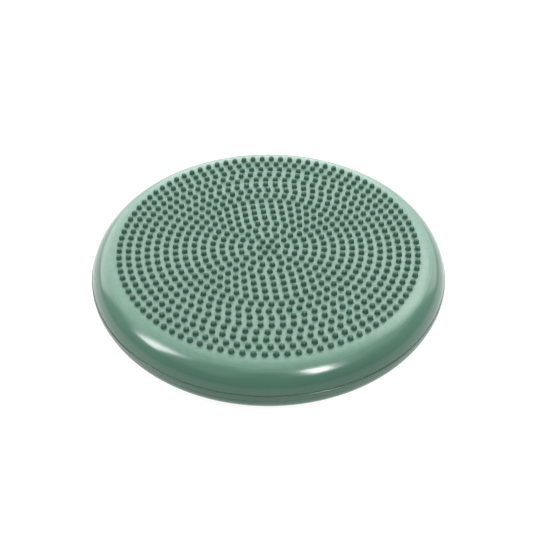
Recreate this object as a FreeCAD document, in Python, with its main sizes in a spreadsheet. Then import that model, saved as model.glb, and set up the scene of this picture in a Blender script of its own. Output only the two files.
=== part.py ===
"""An inflatable balance pad: a round air cushion with massage knobs on its top.

Two moulded vinyl shells meet at mid-height and close an air chamber. A welded band covers
their joint. The lower shell carries an inflation valve: a sleeve, a self-sealing rubber core
and a pull-out plug. Sizes are in millimetres, the Z axis runs up through the pad's centre, and
the underside lies on Z = 0. The valve is on the +Y side.
"""
import FreeCAD, Part
import Sketcher
import math
import os

SIZES = {
    "shell_diameter": 328.6,
    "shell_height": 48.5,
    "wall": 3.0,
    "seam_gap": 0.3,
    "tongue_radius": 160.1,
    "tongue_thickness": 1.5,
    "tongue_rise": 5.5,
    "band_width": 5.0,
    "band_thickness": 0.55,
    "bond_gap": 0.15,
    "groove_pitch": 28.0,
    "groove_width": 2.4,
    "groove_depth": 0.8,
    "ring_pitch": 8.6,
    "knob_radius": 2.75,
    "knob_height": 4.5,
    "tip_radius": 2.4,
    "knob_foot": 0.3,
    "knob_root": 1.0,
    "valve_dip": 20.0,
    "flange_radius": 5.0,
    "flange_thickness": 1.0,
    "flange_sink": 1.0,
    "neck_radius": 3.6,
    "neck_length": 11.0,
    "neck_lip": 2.0,
    "bore_radius": 2.4,
    "mouth_radius": 1.9,
    "bulb_radius": 3.2,
    "bulb_length": 2.5,
    "stem_radius": 1.4,
    "stem_length": 6.0,
    "stem_play": 0.1,
    "needle_radius": 0.5,
    "needle_depth": 3.0,
    "fit_gap": 0.05,
    "head_radius": 3.0,
    "head_height": 1.2,
    "head_gap": 0.3,
}

GROOVE_COUNT = 4

# Each ring holds six knobs more than the ring inside it, except ring 11, which holds two more
# than ring 10, so that the knobs of the outer rings never come closer than those further in.
KNOBS_MORE = 6
FULL_RINGS = 10
FIRST_THINNED_RING = 62

# How far each ring is turned from the X axis, in parts of the spacing of its own knobs.
TURN_PARTS = 8
RING_TURNS = (1, 1, -1, 1, -1, 4, 1, -2, -2, 0, -2, 2, 3, -2, -3, -3)

# Expressions over the sheet that several sub-parts share.
MIDDLE = "(dimensions.shell_height / 2)"
RIM_CENTRE = f"(dimensions.shell_diameter / 2 - {MIDDLE})"
INNER_ROUND = f"({MIDDLE} - dimensions.wall)"
RIM_MIDDLE = (RIM_CENTRE, MIDDLE)
TOP = "dimensions.shell_height"
VALVE_Y = f"({RIM_CENTRE} + {MIDDLE} * cos(dimensions.valve_dip))"
VALVE_Z = f"({MIDDLE} - {MIDDLE} * sin(dimensions.valve_dip))"
VALVE_TURN = "90 + dimensions.valve_dip"


def write_sheet(doc):
    sheet = doc.addObject("Spreadsheet::Sheet", "dimensions")
    for row, (name, value) in enumerate(SIZES.items(), start=1):
        sheet.set(f"A{row}", name)
        sheet.set(f"B{row}", str(value))
        sheet.setAlias(f"B{row}", name)
    doc.recompute()
    return sheet


def origin_feature(body, role):
    return next(f for f in body.Origin.OriginFeatures if f.Role == role)


def new_body(doc, label):
    body = doc.addObject("PartDesign::Body", label)
    body.Label = label
    return body


def new_sketch(body, name):
    """A sketch on the body's XZ plane: its own x is the radius and its own y is the height."""
    sketch = body.newObject("Sketcher::SketchObject", name)
    sketch.AttachmentSupport = (origin_feature(body, "XZ_Plane"), [""])
    sketch.MapMode = "FlatFace"
    return sketch


def number(sheet, expression):
    value = sheet.evalExpression(expression)
    return float(getattr(value, "Value", value))


def hold(sketch, geometry, vertex, kind, expression):
    """Holds one coordinate of a vertex, against the origin, to an expression over the sheet."""
    if expression == "0":
        axis = -2 if kind == "DistanceX" else -1
        sketch.addConstraint(Sketcher.Constraint("PointOnObject", geometry, vertex, axis))
        return
    value = number(SHEET, expression)
    rule = Sketcher.Constraint(kind, -1, 1, geometry, vertex, value)
    index = sketch.addConstraint(rule)
    sketch.setExpression(f"Constraints[{index}]", expression)


def line_to(x, y, held="xy"):
    """A step of an outline. Held names the end's coordinates that are bound to the sheet."""
    return {"end": (x, y), "held": held}


def arc_to(x, y, centre, held):
    """A step along an arc around centre. Its radius comes from where it starts."""
    return {"end": (x, y), "centre": centre, "held": held}


def point(place):
    return FreeCAD.Vector(number(SHEET, place[0]), number(SHEET, place[1]), 0)


def hold_vertex(sketch, geometry, vertex, place, held):
    for name, kind, expression in zip("xy", ("DistanceX", "DistanceY"), place):
        if name in held:
            hold(sketch, geometry, vertex, kind, expression)


def draw_outline(sketch, start, steps):
    """Draws a closed outline from start along the steps, the last of which ends at start."""
    here = start
    first = None
    last = None
    for step in steps:
        corner = point(here)
        end = point(step["end"])
        if "centre" in step:
            geometry, begins, ends = draw_arc(sketch, corner, end, point(step["centre"]))
            hold_vertex(sketch, geometry, 3, step["centre"], "xy")
        else:
            geometry = sketch.addGeometry(Part.LineSegment(corner, end))
            begins, ends = 1, 2
        if first is None:
            first = (geometry, begins)
            hold_vertex(sketch, geometry, begins, start, "xy")
        else:
            sketch.addConstraint(Sketcher.Constraint("Coincident", *last, geometry, begins))
        if step["end"] != start:
            hold_vertex(sketch, geometry, ends, step["end"], step["held"])
        last = (geometry, ends)
        here = step["end"]
    sketch.addConstraint(Sketcher.Constraint("Coincident", *last, *first))


def draw_arc(sketch, corner, end, centre):
    """An arc of less than half a turn, and which of its vertices the outline enters and leaves."""
    circle = Part.Circle(centre, FreeCAD.Vector(0, 0, 1), corner.distanceToPoint(centre))
    angles = [math.atan2(p.y - centre.y, p.x - centre.x) for p in (corner, end)]
    anticlockwise = math.sin(angles[1] - angles[0]) > 0
    low, high = angles if anticlockwise else reversed(angles)
    geometry = sketch.addGeometry(Part.ArcOfCircle(circle, low, high))
    return (geometry, 1, 2) if anticlockwise else (geometry, 2, 1)


def revolve(body, sketch, name, kind="PartDesign::Revolution"):
    feature = body.newObject(kind, name)
    feature.Profile = sketch
    feature.ReferenceAxis = (sketch, ["V_Axis"])
    feature.Angle = 360
    body.Tip = feature
    return feature


def rim_radius(arc_radius, height):
    """The distance from the Z axis to a rim arc of this radius at this height."""
    return f"{RIM_CENTRE} + sqrt({arc_radius}^2 - ({height} - {MIDDLE})^2)"


def seat_at_valve(thing, depth="0"):
    """Turns a sub-part's or a tool's own Z axis along the valve's axis, out through the rim, and
    puts its origin on the rim's surface or at a depth below it."""
    turn = FreeCAD.Rotation(FreeCAD.Vector(-1, 0, 0), number(SHEET, VALVE_TURN))
    thing.Placement = FreeCAD.Placement(FreeCAD.Vector(0, 0, 0), turn)
    thing.setExpression("Placement.Rotation.Angle", VALVE_TURN)
    thing.setExpression("Placement.Base.y", f"{VALVE_Y} - {depth} * cos(dimensions.valve_dip)")
    thing.setExpression("Placement.Base.z", f"{VALVE_Z} + {depth} * sin(dimensions.valve_dip)")


def make_upper_blank(doc):
    """The upper shell before its knobs: a flat top that rolls over into the rim."""
    body = new_body(doc, "upper_shell_blank")
    sketch = new_sketch(body, "upper_profile")
    edge = f"{MIDDLE} + dimensions.seam_gap / 2"
    ceiling = f"{TOP} - dimensions.wall"
    draw_outline(
        sketch,
        ("0", TOP),
        [
            line_to(RIM_CENTRE, TOP),
            arc_to(rim_radius(MIDDLE, edge), edge, RIM_MIDDLE, held="y"),
            line_to(rim_radius(INNER_ROUND, edge), edge),
            arc_to(RIM_CENTRE, ceiling, RIM_MIDDLE, held="x"),
            line_to("0", ceiling),
            line_to("0", TOP),
        ],
    )
    revolve(body, sketch, "upper_turned")
    return body


def make_knob(doc):
    """One massage knob, standing on Z = 0 with its root below it, so that it fuses cleanly."""
    body = new_body(doc, "single_knob")
    sketch = new_sketch(body, "knob_profile")
    root = "-dimensions.knob_root"
    shoulder = "dimensions.knob_height - dimensions.tip_radius"
    draw_outline(
        sketch,
        ("0", root),
        [
            line_to("dimensions.knob_radius", root),
            line_to("dimensions.knob_radius", "dimensions.knob_foot"),
            line_to("dimensions.tip_radius", shoulder),
            arc_to("0", "dimensions.knob_height", ("0", shoulder), held="x"),
            line_to("0", root),
        ],
    )
    revolve(body, sketch, "knob_turned")
    return body


def knobs_in_ring(ring):
    if ring <= FULL_RINGS:
        return KNOBS_MORE * ring
    return FIRST_THINNED_RING + KNOBS_MORE * (ring - FULL_RINGS - 1)


def knob_places(sheet):
    """The foot of every knob: one in the middle, then the rings."""
    height = sheet.get("shell_height")
    places = [FreeCAD.Vector(0, 0, height)]
    for ring, parts in enumerate(RING_TURNS, start=1):
        radius = ring * sheet.get("ring_pitch")
        count = knobs_in_ring(ring)
        for knob in range(count):
            turn = 2 * math.pi * (knob + parts / TURN_PARTS) / count
            places.append(FreeCAD.Vector(radius * math.cos(turn), radius * math.sin(turn), height))
    return places


def make_upper_shell(doc, sheet):
    blank = make_upper_blank(doc)
    knob = make_knob(doc)
    doc.recompute()
    knobs = doc.addObject("Part::Feature", "knob_rings")
    knobs.Shape = Part.makeCompound([knob.Shape.translated(at) for at in knob_places(sheet)])
    shell = doc.addObject("Part::MultiFuse", "upper_shell")
    shell.Shapes = [blank, knobs]
    shell.Refine = False
    shell.Label = "upper_shell"
    return shell


def make_lower_shell(doc):
    """The lower shell: a flat foot, the lower half of the rim, a tongue that stands up inside
    the upper shell, grip grooves in the foot and a seat for the valve."""
    body = new_body(doc, "lower_shell_blank")
    sketch = new_sketch(body, "lower_profile")
    edge = f"{MIDDLE} - dimensions.seam_gap / 2"
    tongue_top = f"{MIDDLE} + dimensions.tongue_rise"
    tongue_inside = "(dimensions.tongue_radius - dimensions.tongue_thickness)"
    tongue_drop = f"sqrt({INNER_ROUND}^2 - ({tongue_inside} - {RIM_CENTRE})^2)"
    draw_outline(
        sketch,
        ("0", "0"),
        [
            line_to(RIM_CENTRE, "0"),
            arc_to(rim_radius(MIDDLE, edge), edge, RIM_MIDDLE, held="y"),
            line_to("dimensions.tongue_radius", edge),
            line_to("dimensions.tongue_radius", tongue_top),
            line_to(tongue_inside, tongue_top),
            line_to(tongue_inside, f"{MIDDLE} - {tongue_drop}"),
            arc_to(RIM_CENTRE, "dimensions.wall", RIM_MIDDLE, held="x"),
            line_to("0", "dimensions.wall"),
            line_to("0", "0"),
        ],
    )
    revolve(body, sketch, "lower_turned")
    cut_grip_grooves(body)
    return cut_valve_seat(doc, body)


def cut_grip_grooves(body):
    for groove in range(1, GROOVE_COUNT + 1):
        sketch = new_sketch(body, f"groove_profile_{groove}")
        inside = f"{groove} * dimensions.groove_pitch - dimensions.groove_width / 2"
        outside = f"{groove} * dimensions.groove_pitch + dimensions.groove_width / 2"
        draw_outline(
            sketch,
            (inside, "0"),
            [
                line_to(outside, "0"),
                line_to(outside, "dimensions.groove_depth"),
                line_to(inside, "dimensions.groove_depth"),
                line_to(inside, "0"),
            ],
        )
        revolve(body, sketch, f"grip_groove_{groove}", "PartDesign::Groove")


def cut_valve_seat(doc, blank):
    """Cuts a shallow seat for the sleeve's flange, and a hole through the wall for its neck."""
    cuts = {
        "flange_seat": ("dimensions.flange_radius", "dimensions.flange_sink"),
        "neck_hole": ("dimensions.neck_radius", "dimensions.neck_length"),
    }
    shell = blank
    for name, (radius, depth) in cuts.items():
        tool = doc.addObject("Part::Cylinder", name)
        tool.setExpression("Radius", f"{radius} + dimensions.fit_gap")
        tool.setExpression("Height", f"2 * {depth}")
        seat_at_valve(tool, depth)
        cut = doc.addObject("Part::Cut", f"shell_less_{name}")
        cut.Base = shell
        cut.Tool = tool
        cut.Refine = False
        shell = cut
    shell.Label = "lower_shell"
    return shell


def make_seam_band(doc):
    """The welded band around the joint of the two shells, following the rim's curve."""
    body = new_body(doc, "seam_band")
    sketch = new_sketch(body, "band_profile")
    low = f"{MIDDLE} - dimensions.band_width / 2"
    high = f"{MIDDLE} + dimensions.band_width / 2"
    inner = f"({MIDDLE} + dimensions.bond_gap)"
    outer = f"({MIDDLE} + dimensions.bond_gap + dimensions.band_thickness)"
    draw_outline(
        sketch,
        (rim_radius(inner, low), low),
        [
            line_to(rim_radius(outer, low), low),
            arc_to(rim_radius(outer, high), high, RIM_MIDDLE, held="y"),
            line_to(rim_radius(inner, high), high, held="y"),
            arc_to(rim_radius(inner, low), low, RIM_MIDDLE, held=""),
        ],
    )
    revolve(body, sketch, "band_turned")
    return body


def make_valve_sleeve(doc):
    """The valve's collar: a flange on the rim and a neck that reaches into the chamber."""
    body = new_body(doc, "valve_sleeve")
    sketch = new_sketch(body, "sleeve_profile")
    face = "dimensions.flange_thickness - dimensions.flange_sink"
    floor = "-dimensions.flange_sink"
    draw_outline(
        sketch,
        ("dimensions.mouth_radius", face),
        [
            line_to("dimensions.flange_radius", face),
            line_to("dimensions.flange_radius", floor),
            line_to("dimensions.neck_radius", floor),
            line_to("dimensions.neck_radius", "-dimensions.neck_length"),
            line_to("dimensions.bore_radius", "-dimensions.neck_length"),
            line_to("dimensions.bore_radius", "-dimensions.neck_lip"),
            line_to("dimensions.mouth_radius", "-dimensions.neck_lip"),
            line_to("dimensions.mouth_radius", face),
        ],
    )
    revolve(body, sketch, "sleeve_turned")
    seat_at_valve(body)
    return body


def make_valve_core(doc):
    """The self-sealing rubber core: it fills the neck, and its bulb holds it from inside."""
    body = new_body(doc, "valve_core")
    sketch = new_sketch(body, "core_profile")
    mouth = "-dimensions.neck_lip - dimensions.fit_gap"
    shoulder = "-dimensions.neck_length - dimensions.fit_gap"
    inner_end = f"{shoulder} - dimensions.bulb_length"
    socket = "dimensions.stem_radius + dimensions.stem_play"
    socket_floor = "-dimensions.stem_length - dimensions.head_gap"
    needle_end = f"{socket_floor} - dimensions.needle_depth"
    draw_outline(
        sketch,
        (socket, mouth),
        [
            line_to("dimensions.bore_radius - dimensions.fit_gap", mouth),
            line_to("dimensions.bore_radius - dimensions.fit_gap", shoulder),
            line_to("dimensions.bulb_radius", shoulder),
            line_to("dimensions.bulb_radius", inner_end),
            line_to("0", inner_end),
            line_to("0", needle_end),
            line_to("dimensions.needle_radius", needle_end),
            line_to("dimensions.needle_radius", socket_floor),
            line_to(socket, socket_floor),
            line_to(socket, mouth),
        ],
    )
    revolve(body, sketch, "core_turned")
    seat_at_valve(body)
    return body


def make_valve_plug(doc):
    """The pull-out plug: a stem in the core's socket under a head with a rounded edge."""
    body = new_body(doc, "valve_plug")
    sketch = new_sketch(body, "plug_profile")
    seat = "dimensions.flange_thickness - dimensions.flange_sink + dimensions.head_gap"
    top = f"{seat} + dimensions.head_height"
    flat_radius = "dimensions.head_radius - dimensions.head_height"
    draw_outline(
        sketch,
        ("0", "-dimensions.stem_length"),
        [
            line_to("dimensions.stem_radius", "-dimensions.stem_length"),
            line_to("dimensions.stem_radius", seat),
            line_to("dimensions.head_radius", seat),
            arc_to(flat_radius, top, (flat_radius, seat), held="x"),
            line_to("0", top),
            line_to("0", "-dimensions.stem_length"),
        ],
    )
    revolve(body, sketch, "plug_turned")
    seat_at_valve(body)
    return body


def check_document(doc, pieces):
    for thing in doc.Objects:
        for state in ("Invalid", "Error"):
            if state in thing.State:
                raise RuntimeError(f"{thing.Label} is {state}")
    for piece in pieces:
        shape = piece.Shape
        if shape.isNull() or not shape.isValid() or len(shape.Solids) != 1:
            raise RuntimeError(f"{piece.Label} isn't one valid solid")
        print(f"{piece.Label}: {shape.Volume / 1000:.2f} cm3, {len(shape.Faces)} faces")


def write_pieces(pieces):
    os.makedirs("parts", exist_ok=True)
    for piece in pieces:
        piece.Shape.exportStep(f"parts/{piece.Label}.step")


def main(doc, sheet):
    pieces = [
        make_lower_shell(doc),
        make_upper_shell(doc, sheet),
        make_seam_band(doc),
        make_valve_sleeve(doc),
        make_valve_core(doc),
        make_valve_plug(doc),
    ]
    doc.recompute()
    check_document(doc, pieces)
    write_pieces(pieces)


DOCUMENT = FreeCAD.newDocument("balance_pad")
SHEET = write_sheet(DOCUMENT)
main(DOCUMENT, SHEET)
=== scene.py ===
"""Looks of the inflatable balance pad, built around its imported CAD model."""
import math

import bmesh
import bpy
import numpy as np
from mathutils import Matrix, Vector


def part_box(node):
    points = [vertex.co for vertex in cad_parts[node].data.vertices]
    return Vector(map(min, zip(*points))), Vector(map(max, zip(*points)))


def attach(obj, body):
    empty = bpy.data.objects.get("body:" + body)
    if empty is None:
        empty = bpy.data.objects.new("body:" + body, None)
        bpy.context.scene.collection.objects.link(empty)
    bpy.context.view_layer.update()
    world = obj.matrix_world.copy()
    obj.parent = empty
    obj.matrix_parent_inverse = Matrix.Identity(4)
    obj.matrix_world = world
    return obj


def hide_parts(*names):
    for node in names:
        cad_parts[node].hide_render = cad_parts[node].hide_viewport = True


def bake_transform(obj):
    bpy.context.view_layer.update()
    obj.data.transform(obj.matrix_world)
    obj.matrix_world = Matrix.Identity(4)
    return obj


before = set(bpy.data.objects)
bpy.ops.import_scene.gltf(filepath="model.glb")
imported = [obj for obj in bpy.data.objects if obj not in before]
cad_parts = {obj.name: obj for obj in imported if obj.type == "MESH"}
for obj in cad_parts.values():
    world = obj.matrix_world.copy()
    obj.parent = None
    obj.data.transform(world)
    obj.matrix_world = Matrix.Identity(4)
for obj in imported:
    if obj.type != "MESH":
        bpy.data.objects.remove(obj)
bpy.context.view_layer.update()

MM = 0.001

# ---------------------------------------------------------------- sizes, read from the frame

band_low, band_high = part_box("seam_band")
upper_low, upper_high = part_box("upper_shell")
MIDDLE = (band_low.z + band_high.z) / 2
TOP = 2 * MIDDLE
SHELL_RADIUS = upper_high.x
RIM_ROUND = MIDDLE
RIM_CENTRE = SHELL_RADIUS - RIM_ROUND
KNOB_HEIGHT = upper_high.z - TOP
BAND_RADIUS = band_high.x
BAND_HALF = (band_high.z - band_low.z) / 2
WALL = 3.0 * MM

# How finely the round forms are cut. A point nearer the axis than ON_AXIS counts as on it.
SEGMENTS = 320
ON_AXIS = 1e-6
FIELD_STEPS = 28
WALL_STEPS = 12
INSIDE_STEPS = 6

# The rim's outline. Its finer steps run from FINE_FROM down to the shell's edge, both in degrees
# above or below the horizontal.
FINE_FROM = 15
SHELL_EDGE = 0.4
COARSE_STEPS = 33
FINE_STEPS = 48

# The lines along the seam: how far they are from the pad's middle, and their size.
CREASE_PLACE = BAND_HALF + 0.25 * MM
CREASE_WIDTH = 0.40 * MM
CREASE_DEPTH = 0.42 * MM
MOULD_LINE_PLACE = 4.7 * MM
MOULD_LINE_WIDTH = 0.45 * MM
MOULD_LINE_HEIGHT = 0.16 * MM

# The welded band: its rounded corner in degrees, how much of its height is left at its shoulders,
# and how deep it is set into the rim.
BAND_CORNER = 0.8
BAND_SHOULDER = 0.55
BAND_SUNK = 0.3 * MM

# The frosted finish of the two flats is full this near to their height, and gone this far from it.
FROST_NEAR = 1 * MM
FROST_FAR = 5 * MM

# How far the blown rim swings in and out round the pad.
RIM_SWING = 0.35 * MM

# A knob, and how much the knobs differ from each other in height and in girth.
KNOB_RADIUS = 2.6 * MM
KNOB_FILLET = 0.4 * MM
KNOB_TAPER = 0.2 * MM
KNOB_DOME = 2.2 * MM
KNOB_ROOT = 0.3 * MM
KNOB_SIDES = 12
KNOB_FILLET_STEPS = 3
KNOB_DOME_STEPS = 6
KNOB_SPREAD = 0.02
KNOB_SEED = 11

# The grip grooves of the underside. Their sides slope in an S, so that both edges are rounded.
GROOVES = 4
GROOVE_PITCH = 28 * MM
GROOVE_HALF = 1.6 * MM
GROOVE_DEPTH = 0.8 * MM
GROOVE_FLAT = 0.35
GROOVE_STEPS = 6

# The valve's hole, which points this many degrees below the horizontal.
VALVE_DIP = 20
VALVE_HOLE_RADIUS = 5.08 * MM
VALVE_HOLE_DEPTH = 16 * MM
VALVE_HOLE_SIDES = 64


def knob_tips():
    """The tip of every knob: the highest vertices of the CAD shell, each once."""
    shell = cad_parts["upper_shell"].data
    places = np.empty(len(shell.vertices) * 3)
    shell.vertices.foreach_get("co", places)
    places = places.reshape(-1, 3)
    tips = places[places[:, 2] > upper_high.z - 0.01 * MM]
    return np.unique(np.round(tips[:, :2], 5), axis=0)


# ---------------------------------------------------------------- mesh tools


def new_object(name, vertices, faces, smooth=True):
    """A mesh object with these vertices and faces, linked to the scene."""
    mesh = bpy.data.meshes.new(name)
    mesh.from_pydata([tuple(v) for v in vertices], [], [tuple(f) for f in faces])
    mesh.update()
    if smooth:
        mesh.shade_smooth()
    piece = bpy.data.objects.new(name, mesh)
    bpy.context.scene.collection.objects.link(piece)
    return piece


def lathe(name, profile):
    """Turns a closed profile of (radius, height) round Z. Points on the axis become poles."""
    vertices = []
    rings = []
    for radius, height in profile:
        if radius < ON_AXIS:
            rings.append([len(vertices)] * SEGMENTS)
            vertices.append((0, 0, height))
            continue
        rings.append(list(range(len(vertices), len(vertices) + SEGMENTS)))
        for k in range(SEGMENTS):
            a = 2 * math.pi * k / SEGMENTS
            vertices.append((radius * math.cos(a), radius * math.sin(a), height))
    faces = []
    for here, there in zip(rings, rings[1:] + rings[:1]):
        for k in range(SEGMENTS):
            n = (k + 1) % SEGMENTS
            corners = []
            for corner in (here[k], there[k], there[n], here[n]):
                if corner not in corners:
                    corners.append(corner)
            if len(corners) > 2:
                faces.append(corners)
    return new_object(name, vertices, faces)


def rim_point(radius, angle):
    """A point this far from the rim's centre, at this many degrees above the horizontal."""
    a = math.radians(angle)
    return (RIM_CENTRE + radius * math.cos(a), MIDDLE + radius * math.sin(a))


def arc(radius, start, stop, steps):
    """Points of an arc round the rim's centre. Angles are in degrees above the horizontal."""
    return [rim_point(radius, start + (stop - start) * k / steps) for k in range(steps + 1)]


def seam_relief(rise):
    """How far the rim's surface stands out at this distance above the pad's middle: a fine crease
    on each side of the welded band, and a low mould line under it."""
    creases = sum(math.exp(-(((rise - side * CREASE_PLACE) / CREASE_WIDTH) ** 2)) for side in (-1, 1))
    line = math.exp(-(((rise + MOULD_LINE_PLACE) / MOULD_LINE_WIDTH) ** 2))
    return MOULD_LINE_HEIGHT * line - CREASE_DEPTH * creases


def rim_outline(side):
    """The outer rim from its flat to its edge, for the upper side (1) or the lower side (-1). It
    takes finer steps near the seam."""
    coarse = [90 - (90 - FINE_FROM) * k / COARSE_STEPS for k in range(COARSE_STEPS)]
    fine = [FINE_FROM - (FINE_FROM - SHELL_EDGE) * k / FINE_STEPS for k in range(FINE_STEPS + 1)]
    points = []
    for angle in coarse + fine:
        rise = math.radians(angle * side) * RIM_ROUND
        points.append(rim_point(RIM_ROUND + seam_relief(rise), angle * side))
    return points


def add_mask(piece, name, rule):
    """A value for every vertex, which the materials read: rule maps its place to 0 to 1."""
    mask = piece.data.attributes.new(name, "FLOAT", "POINT")
    mask.data.foreach_set("value", [rule(v.co) for v in piece.data.vertices])


def unevenness(angle):
    """A slow in-and-out of the blown rim, -1 to 1, round the pad."""
    waves = ((0.5, 3, 1.1), (0.3, 5, 4.0), (0.2, 8, 2.3))
    return sum(size * math.sin(turns * angle + shift) for size, turns, shift in waves)


def smooth_step(low, high, value):
    """Rises in an S from 0 at low to 1 at high."""
    t = min(max((value - low) / (high - low), 0.0), 1.0)
    return t * t * (3 - 2 * t)


# ---------------------------------------------------------------- materials


class Look:
    """A material's nodes, with short names for what the materials share."""

    def __init__(self, name):
        self.material = bpy.data.materials.new(name)
        self.material.use_nodes = True
        self.nodes = self.material.node_tree.nodes
        self.links = self.material.node_tree.links
        self.shader = self.nodes["Principled BSDF"]

    def node(self, kind, **values):
        node = self.nodes.new(kind)
        for key, value in values.items():
            if key in node.inputs:
                node.inputs[key].default_value = value
            else:
                setattr(node, key, value)
        return node

    def join(self, source, target):
        self.links.new(source, target)

    def noise(self, scale, detail=2.0, roughness=0.5, distortion=0.0):
        place = self.node("ShaderNodeTexCoord").outputs["Object"]
        node = self.node("ShaderNodeTexNoise")
        node.inputs["Scale"].default_value = scale
        node.inputs["Detail"].default_value = detail
        node.inputs["Roughness"].default_value = roughness
        node.inputs["Distortion"].default_value = distortion
        self.join(place, node.inputs["Vector"])
        return node.outputs["Fac"]

    def remap(self, source, low, high, to_low, to_high):
        node = self.node("ShaderNodeMapRange")
        for key, value in zip(("From Min", "From Max", "To Min", "To Max"), (low, high, to_low, to_high)):
            node.inputs[key].default_value = value
        self.join(source, node.inputs["Value"])
        return node.outputs["Result"]

    def spread(self, noise, to_low=0, to_high=1):
        """Stretches the usual range of a noise, 0.3 to 0.7, to these values."""
        return self.remap(noise, 0.3, 0.7, to_low, to_high)

    def maths(self, operation, first, second):
        node = self.node("ShaderNodeMath")
        node.operation = operation
        for socket, value in zip(node.inputs, (first, second)):
            if isinstance(value, (int, float)):
                socket.default_value = value
            else:
                self.join(value, socket)
        return node.outputs["Value"]

    def mix(self, share, first, second):
        """Mixes two colours, each a tuple or a socket."""
        node = self.node("ShaderNodeMix")
        node.data_type = "RGBA"
        for socket, value in zip((node.inputs[0], node.inputs[6], node.inputs[7]), (share, first, second)):
            if isinstance(value, (int, float)):
                socket.default_value = value
            elif isinstance(value, tuple):
                socket.default_value = (*value, 1.0)
            else:
                self.join(value, socket)
        return node.outputs[2]

    def mask(self, name):
        return self.node("ShaderNodeAttribute", attribute_name=name).outputs["Fac"]

    def bump(self, height, strength, distance, under=None):
        node = self.node("ShaderNodeBump")
        node.inputs["Distance"].default_value = distance
        if isinstance(strength, float):
            node.inputs["Strength"].default_value = strength
        else:
            self.join(strength, node.inputs["Strength"])
        self.join(height, node.inputs["Height"])
        if under is not None:
            self.join(under, node.inputs["Normal"])
        return node.outputs["Normal"]

    def finish(self, colour, roughness, normal=None):
        self.join(colour, self.shader.inputs["Base Color"])
        self.join(roughness, self.shader.inputs["Roughness"])
        if normal is not None:
            self.join(normal, self.shader.inputs["Normal"])
        return self.material


# The vinyl's colour, and how rough its finishes are.
VINYL = (0.035, 0.091, 0.060)
SCUFF_COLOUR = (0.42, 0.52, 0.46)
GLOSSY_ROUGHNESS = 0.17
FROSTED_ROUGHNESS = 0.34
KNOB_FOOT_ROUGHNESS = 0.42
KNOB_TIP_ROUGHNESS = 0.30


def shade(colour, factor):
    """The colour, made darker or lighter."""
    return tuple(c * factor for c in colour)


def vinyl(name, tint=1.0, ior=1.4, sheen=0.08):
    """Soft moulded vinyl: glossy on the rim, with painted shade that makes its colour darker there,
    frosted and mottled where the mask "frost" is 1, with a cloudy colour, a fine moulded grain, a slight
    unevenness and faint scuffs."""
    look = Look(name)
    frost = look.mask("frost")
    clouds = look.noise(14.0, detail=3.0, roughness=0.6)
    grain = look.noise(1700.0, detail=2.0, roughness=0.6)
    swell = look.noise(38.0, detail=1.0)
    scuffs = look.noise(260.0, detail=4.0, roughness=0.75, distortion=1.6)
    base = shade(VINYL, tint)
    patches = look.noise(170.0, detail=3.0, roughness=0.7)
    # The rim's colour is darkened below the frosted flat's: painted shade for the rim's sides, which face
    # less of the light.
    glossy = look.mix(look.spread(clouds), shade(base, 0.73), shade(base, 0.82))
    frosted = look.mix(look.spread(patches), shade(base, 0.80), shade(base, 1.02))
    colour = look.mix(frost, glossy, frosted)
    scuffed = look.remap(scuffs, 0.66, 0.74, 0.0, 0.10)
    colour = look.mix(scuffed, colour, SCUFF_COLOUR)
    satin = look.remap(frost, 0, 1, GLOSSY_ROUGHNESS, FROSTED_ROUGHNESS)
    uneven = look.spread(clouds, -0.025, 0.025)
    roughness = look.maths("ADD", look.maths("ADD", satin, uneven), scuffed)
    fine = look.bump(grain, look.remap(frost, 0, 1, 0.08, 0.35), distance=0.12 * MM)
    normal = look.bump(swell, 0.25, distance=0.6 * MM, under=fine)
    mottle = look.remap(frost, 0, 1, 0.0, 0.30)
    normal = look.bump(patches, mottle, distance=0.5 * MM, under=normal)
    look.shader.inputs["IOR"].default_value = ior
    look.shader.inputs["Sheen Weight"].default_value = sheen
    look.shader.inputs["Sheen Roughness"].default_value = 0.6
    return look.finish(colour, roughness, normal)


def knob_vinyl_painted_shade(name):
    """The vinyl of the knobs, coloured darker than the field's as painted shade for their shaded sides and
    the hollows between them: dull at the foot and shinier at the tip.
    """
    look = Look(name)
    rise = look.mask("rise")
    clouds = look.noise(60.0, detail=2.0)
    grain = look.noise(1500.0, detail=2.0)
    # The knobs' colour is the field's vinyl made darker: painted shade for the knobs' sides and the
    # hollows between them.
    colour = look.mix(look.spread(clouds), shade(VINYL, 0.58), shade(VINYL, 0.68))
    roughness = look.remap(rise, 0.0, 1.0, KNOB_FOOT_ROUGHNESS, KNOB_TIP_ROUGHNESS)
    normal = look.bump(grain, 0.12, distance=0.12 * MM)
    look.shader.inputs["IOR"].default_value = 1.3
    return look.finish(colour, roughness, normal)


def rubber(name):
    """Dusty black rubber."""
    look = Look(name)
    dust = look.noise(900.0, detail=4.0, roughness=0.7)
    colour = look.mix(look.remap(dust, 0.4, 0.7, 0, 1), (0.012, 0.012, 0.012), (0.05, 0.05, 0.048))
    roughness = look.spread(dust, 0.55, 0.8)
    return look.finish(colour, roughness, look.bump(dust, 0.3, distance=0.1 * MM))


def plug_plastic(name):
    """Pale grey plastic with some grime on it."""
    look = Look(name)
    grain = look.noise(1300.0, detail=3.0)
    grime = look.noise(240.0, detail=4.0, roughness=0.7)
    dirty = look.remap(grime, 0.5, 0.75, 0.0, 0.5)
    colour = look.mix(dirty, (0.19, 0.21, 0.20), (0.12, 0.135, 0.125))
    roughness = look.spread(grime, 0.35, 0.5)
    return look.finish(colour, roughness, look.bump(grain, 0.15, distance=0.1 * MM))


# ---------------------------------------------------------------- the pieces


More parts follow.
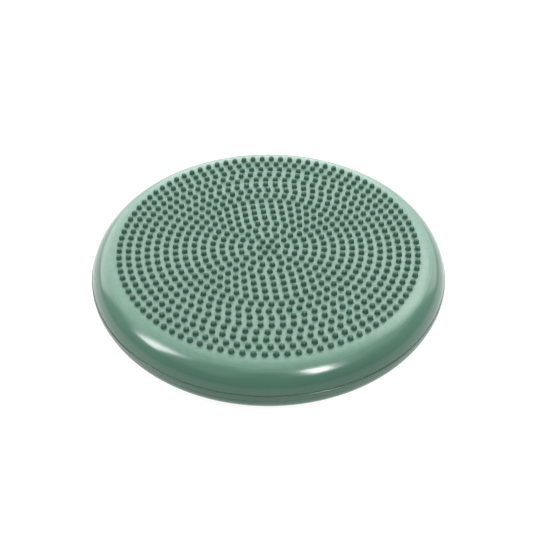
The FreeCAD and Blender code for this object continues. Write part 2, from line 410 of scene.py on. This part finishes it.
def swing_rim(skin):
    """Moves the blown rim in and out a little, most of all halfway up."""
    for vertex in skin.data.vertices:
        place = vertex.co
        out = place.xy.length
        rise = min(max((place.z - MIDDLE) / (TOP - MIDDLE), 0), 1)
        share = math.sin(math.pi * rise) * smooth_step(RIM_CENTRE, SHELL_RADIUS, out)
        swing = RIM_SWING * share * unevenness(math.atan2(place.y, place.x))
        place.xy *= 1 + swing / max(out, RIM_CENTRE)


def inside(height):
    """The inner wall's flat at this height, from the rim to the axis."""
    return [(RIM_CENTRE * (1 - k / INSIDE_STEPS), height) for k in range(1, INSIDE_STEPS + 1)]


def make_upper_skin():
    """The upper shell's skin: the flat knob field, the rolled rim, and its inner wall."""
    field = [(RIM_CENTRE * k / FIELD_STEPS, TOP) for k in range(FIELD_STEPS)]
    outer = rim_outline(1)
    inner = arc(RIM_ROUND - WALL, SHELL_EDGE, 90, WALL_STEPS)
    skin = lathe("upper_skin", field + outer + inner + inside(TOP - WALL))
    swing_rim(skin)
    add_mask(skin, "frost", lambda p: smooth_step(TOP - FROST_FAR, TOP - FROST_NEAR, p.z))
    skin.data.materials.append(vinyl("upper_vinyl"))
    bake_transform(skin)
    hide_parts("upper_shell")


def knob_profile():
    """One knob from below its foot to its tip, as (radius, height): a small fillet at the foot, a
    nearly upright side and a domed tip."""
    shoulder = KNOB_HEIGHT - KNOB_DOME
    points = [(KNOB_RADIUS + KNOB_FILLET, -KNOB_ROOT)]
    for k in range(KNOB_FILLET_STEPS):
        a = math.radians(90 * k / KNOB_FILLET_STEPS)
        out = KNOB_RADIUS + KNOB_FILLET * (1 - math.sin(a))
        points.append((out, KNOB_FILLET * (1 - math.cos(a))))
    for k in range(KNOB_DOME_STEPS):
        a = math.radians(90 * k / KNOB_DOME_STEPS)
        out = (KNOB_RADIUS - KNOB_TAPER) * math.cos(a)
        points.append((out, shoulder + (KNOB_HEIGHT - shoulder) * math.sin(a)))
    return points + [(0, KNOB_HEIGHT)]


def make_knobs():
    """All the knobs as one mesh, each a little different in height and girth."""
    profile = knob_profile()
    chance = np.random.default_rng(KNOB_SEED)
    vertices = []
    faces = []
    rises = []
    for x, y in knob_tips():
        rings = []
        stretch = 1 + chance.uniform(-KNOB_SPREAD, KNOB_SPREAD)
        girth = 1 + chance.uniform(-KNOB_SPREAD, KNOB_SPREAD)
        for radius, height in profile[:-1]:
            rings.append(list(range(len(vertices), len(vertices) + KNOB_SIDES)))
            for k in range(KNOB_SIDES):
                a = 2 * math.pi * k / KNOB_SIDES
                right = x + girth * radius * math.cos(a)
                back = y + girth * radius * math.sin(a)
                vertices.append((right, back, TOP + stretch * height))
                rises.append(max(height, 0) / KNOB_HEIGHT)
        tip = len(vertices)
        vertices.append((x, y, TOP + stretch * profile[-1][1]))
        rises.append(1.0)
        for here, there in zip(rings, rings[1:]):
            for k in range(KNOB_SIDES):
                n = (k + 1) % KNOB_SIDES
                faces.append((here[k], here[n], there[n], there[k]))
        for k in range(KNOB_SIDES):
            faces.append((rings[-1][k], rings[-1][(k + 1) % KNOB_SIDES], tip))
        faces.append(tuple(reversed(rings[0])))
    knobs = new_object("massage_knobs", vertices, faces)
    rise = knobs.data.attributes.new("rise", "FLOAT", "POINT")
    rise.data.foreach_set("value", rises)
    knobs.data.materials.append(knob_vinyl_painted_shade("knob_vinyl_painted_shade"))
    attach(knobs, "top")
    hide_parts("upper_shell")


def cut_valve_hole(skin):
    """Opens the rim at the back for the valve's collar."""
    way = Vector((0, math.cos(math.radians(VALVE_DIP)), -math.sin(math.radians(VALVE_DIP))))
    centre = Vector((0, RIM_CENTRE, MIDDLE)) + way * RIM_ROUND
    mesh = bpy.data.meshes.new("hole")
    shape = bmesh.new()
    bmesh.ops.create_cone(shape, cap_ends=True, segments=VALVE_HOLE_SIDES,
                          radius1=VALVE_HOLE_RADIUS, radius2=VALVE_HOLE_RADIUS,
                          depth=VALVE_HOLE_DEPTH)
    shape.to_mesh(mesh)
    shape.free()
    cutter = bpy.data.objects.new("hole", mesh)
    bpy.context.scene.collection.objects.link(cutter)
    cutter.location = centre
    cutter.rotation_mode = "QUATERNION"
    cutter.rotation_quaternion = way.to_track_quat("Z", "Y")
    cut = skin.modifiers.new("hole", "BOOLEAN")
    cut.operation = "DIFFERENCE"
    cut.object = cutter
    bpy.context.view_layer.update()
    graph = bpy.context.evaluated_depsgraph_get()
    opened = bpy.data.meshes.new_from_object(skin.evaluated_get(graph))
    skin.modifiers.clear()
    skin.data = opened
    skin.data.shade_smooth()
    bpy.data.objects.remove(cutter)


def make_lower_skin():
    """The lower shell's skin, with its grip grooves, and its inner wall."""
    foot = [(0, 0)]
    for k in range(1, GROOVES + 1):
        for step in range(-GROOVE_STEPS, GROOVE_STEPS + 1):
            share = step / GROOVE_STEPS
            depth = GROOVE_DEPTH * (1 - smooth_step(GROOVE_FLAT, 1, abs(share)))
            foot.append((k * GROOVE_PITCH + share * GROOVE_HALF, depth))
    outer = rim_outline(-1)
    inner = arc(RIM_ROUND - WALL, -SHELL_EDGE, -90, WALL_STEPS)
    skin = lathe("lower_skin", list(reversed(foot + outer + inner + inside(WALL))))
    cut_valve_hole(skin)
    add_mask(skin, "frost", lambda p: 1 - smooth_step(FROST_NEAR, FROST_FAR, p.z))
    # The lower skin's colour is made 1.5 times as light as the upper's, with less shine: painted light for
    # the table's light on the lower rim.
    skin.data.materials.append(vinyl("lower_vinyl", tint=1.5, ior=1.2, sheen=0.0))
    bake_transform(skin)
    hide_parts("lower_shell")


def make_band():
    """The welded band: a low rounded strip on the rim."""
    proud = BAND_RADIUS - SHELL_RADIUS
    half = math.degrees(math.asin(BAND_HALF / RIM_ROUND))
    outer = arc(RIM_ROUND + proud, half - BAND_CORNER, -half + BAND_CORNER, steps=8)
    lower = rim_point(RIM_ROUND + proud * BAND_SHOULDER, -half)
    inner = arc(RIM_ROUND - BAND_SUNK, -half, half, steps=6)
    upper = rim_point(RIM_ROUND + proud * BAND_SHOULDER, half)
    band = lathe("weld_band", list(reversed(outer + [lower] + inner + [upper])))
    add_mask(band, "frost", lambda p: 0.0)
    band.data.materials.append(vinyl("band_vinyl", tint=0.93))
    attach(band, "band")
    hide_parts("seam_band")


def dress_valve():
    """Gives the valve's CAD pieces their materials."""
    looks = {
        "valve_sleeve": vinyl("collar_vinyl", tint=0.9),
        "valve_core": rubber("core_rubber"),
        "valve_plug": plug_plastic("plug_plastic"),
    }
    for name, look in looks.items():
        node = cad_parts[name]
        node.data.materials.clear()
        node.data.materials.append(look)


# ---------------------------------------------------------------- the stage


# The table: its own light, half its width in metres, and how far it is below the pad's underside.
FLOOR_GLOW = 0.9
FLOOR_REACH = 6.0
FLOOR_DROP = 0.2 * MM


def make_floor():
    """A dark table that glows evenly, so that it looks white and shows almost no shadow."""
    sides = ((-1, -1), (1, -1), (1, 1), (-1, 1))
    corners = [(x * FLOOR_REACH, y * FLOOR_REACH, -FLOOR_DROP) for x, y in sides]
    floor = new_object("floor", corners, [(0, 1, 2, 3)], smooth=False)
    look = Look("floor_paper")
    tone = look.noise(3.0)
    colour = look.mix(tone, (0.10, 0.10, 0.10), (0.12, 0.12, 0.12))
    look.shader.inputs["Emission Color"].default_value = (1, 1, 1, 1)
    look.shader.inputs["Emission Strength"].default_value = FLOOR_GLOW
    look.finish(colour, look.remap(tone, 0, 1, 0.7, 0.8))
    floor.data.materials.append(look.material)


# How far the lights are, and their widths and heights, in metres.
LIGHT_DISTANCE = 1.5
WIDE = (0.86, 0.62)
LOW = (1.10, 0.62)
HIGH = (0.75, 0.55)
LEFT_STREAK = (0.36, 0.62)
RIGHT_STREAK = (0.28, 0.50)

# How bright each group of the studio's soft lights is. The pad is lit mostly from behind, and most
# of all from behind on its right. Two narrow lights, one on the left and one in front on the right,
# make the streaks on the rim.
BACK_GLOW = 6.0
BACK_KEY = 12.0
FILL_GLOW = 1.0
HIGH_FILL_GLOW = 1.7
LEFT_STREAK_GLOW = 25.0
RIGHT_STREAK_GLOW = 42.0
WORLD_GLOW = 0.40

# The camera, in degrees and metres, with its lens in millimetres.
CAMERA_AZIMUTH = -0.3
CAMERA_ELEVATION = 41.75
CAMERA_DISTANCE = 0.99
CAMERA_AIM = Vector((1.4 * MM, 0, 20.2 * MM))
CAMERA_LENS = 69.9


def direction(azimuth, elevation):
    """The way from the pad to something at this azimuth and elevation, in degrees."""
    a, e = math.radians(azimuth), math.radians(elevation)
    return Vector((math.sin(a) * math.cos(e), -math.cos(a) * math.cos(e), math.sin(e)))


def add_light(name, azimuth, elevation, width, height, radiance):
    """A soft rectangular light, aimed at the pad."""
    data = bpy.data.lights.new(name, "AREA")
    data.shape = "RECTANGLE"
    data.size, data.size_y = width, height
    data.energy = math.pi * width * height * radiance
    light = bpy.data.objects.new(name, data)
    way = direction(azimuth, elevation)
    light.location = way * LIGHT_DISTANCE + Vector((0, 0, MIDDLE))
    light.rotation_mode = "QUATERNION"
    light.rotation_quaternion = way.to_track_quat("Z", "Y")
    bpy.context.scene.collection.objects.link(light)


def light_the_studio():
    """The soft lights and the even light all round. Azimuth 0 is the camera's side and 90 is its
    right."""
    add_light("back_key", 135, 45, *WIDE, BACK_KEY)
    for azimuth, share in ((180, 1.0), (-135, 0.75)):
        add_light(f"back_{azimuth}", azimuth, 45, *WIDE, share * BACK_GLOW)
        add_light(f"back_low_{azimuth}", azimuth, 18, *LOW, share * BACK_GLOW)
    add_light("back_low_135", 135, 18, *LOW, 0.5 * BACK_GLOW)
    add_light("back_high", 180, 70, *HIGH, BACK_GLOW)
    for azimuth in (-90, -45, 45, 90):
        add_light(f"fill_{azimuth}", azimuth, 45, *WIDE, FILL_GLOW)
    for azimuth in (-90, 0, 90):
        add_light(f"high_fill_{azimuth}", azimuth, 70, *HIGH, HIGH_FILL_GLOW)
    add_light("overhead", 0, 90, *HIGH, HIGH_FILL_GLOW)
    add_light("left_streak", -78, 42, *LEFT_STREAK, LEFT_STREAK_GLOW)
    add_light("right_streak", 34, 48, *RIGHT_STREAK, RIGHT_STREAK_GLOW)
    world = bpy.data.worlds.new("studio")
    world.use_nodes = True
    world.node_tree.nodes["Background"].inputs["Color"].default_value = (1, 1, 1, 1)
    world.node_tree.nodes["Background"].inputs["Strength"].default_value = WORLD_GLOW
    bpy.context.scene.world = world


def add_camera():
    """The camera stands in front of the pad and looks down on it."""
    data = bpy.data.cameras.new("camera")
    data.lens = CAMERA_LENS
    camera = bpy.data.objects.new("camera", data)
    back = direction(CAMERA_AZIMUTH, CAMERA_ELEVATION)
    camera.location = CAMERA_AIM + back * CAMERA_DISTANCE
    camera.rotation_mode = "QUATERNION"
    camera.rotation_quaternion = back.to_track_quat("Z", "Y")
    bpy.context.scene.collection.objects.link(camera)
    bpy.context.scene.camera = camera


make_upper_skin()
make_knobs()
make_lower_skin()
make_band()
dress_valve()
make_floor()
light_the_studio()
add_camera()
bpy.context.scene.view_settings.view_transform = "Standard"
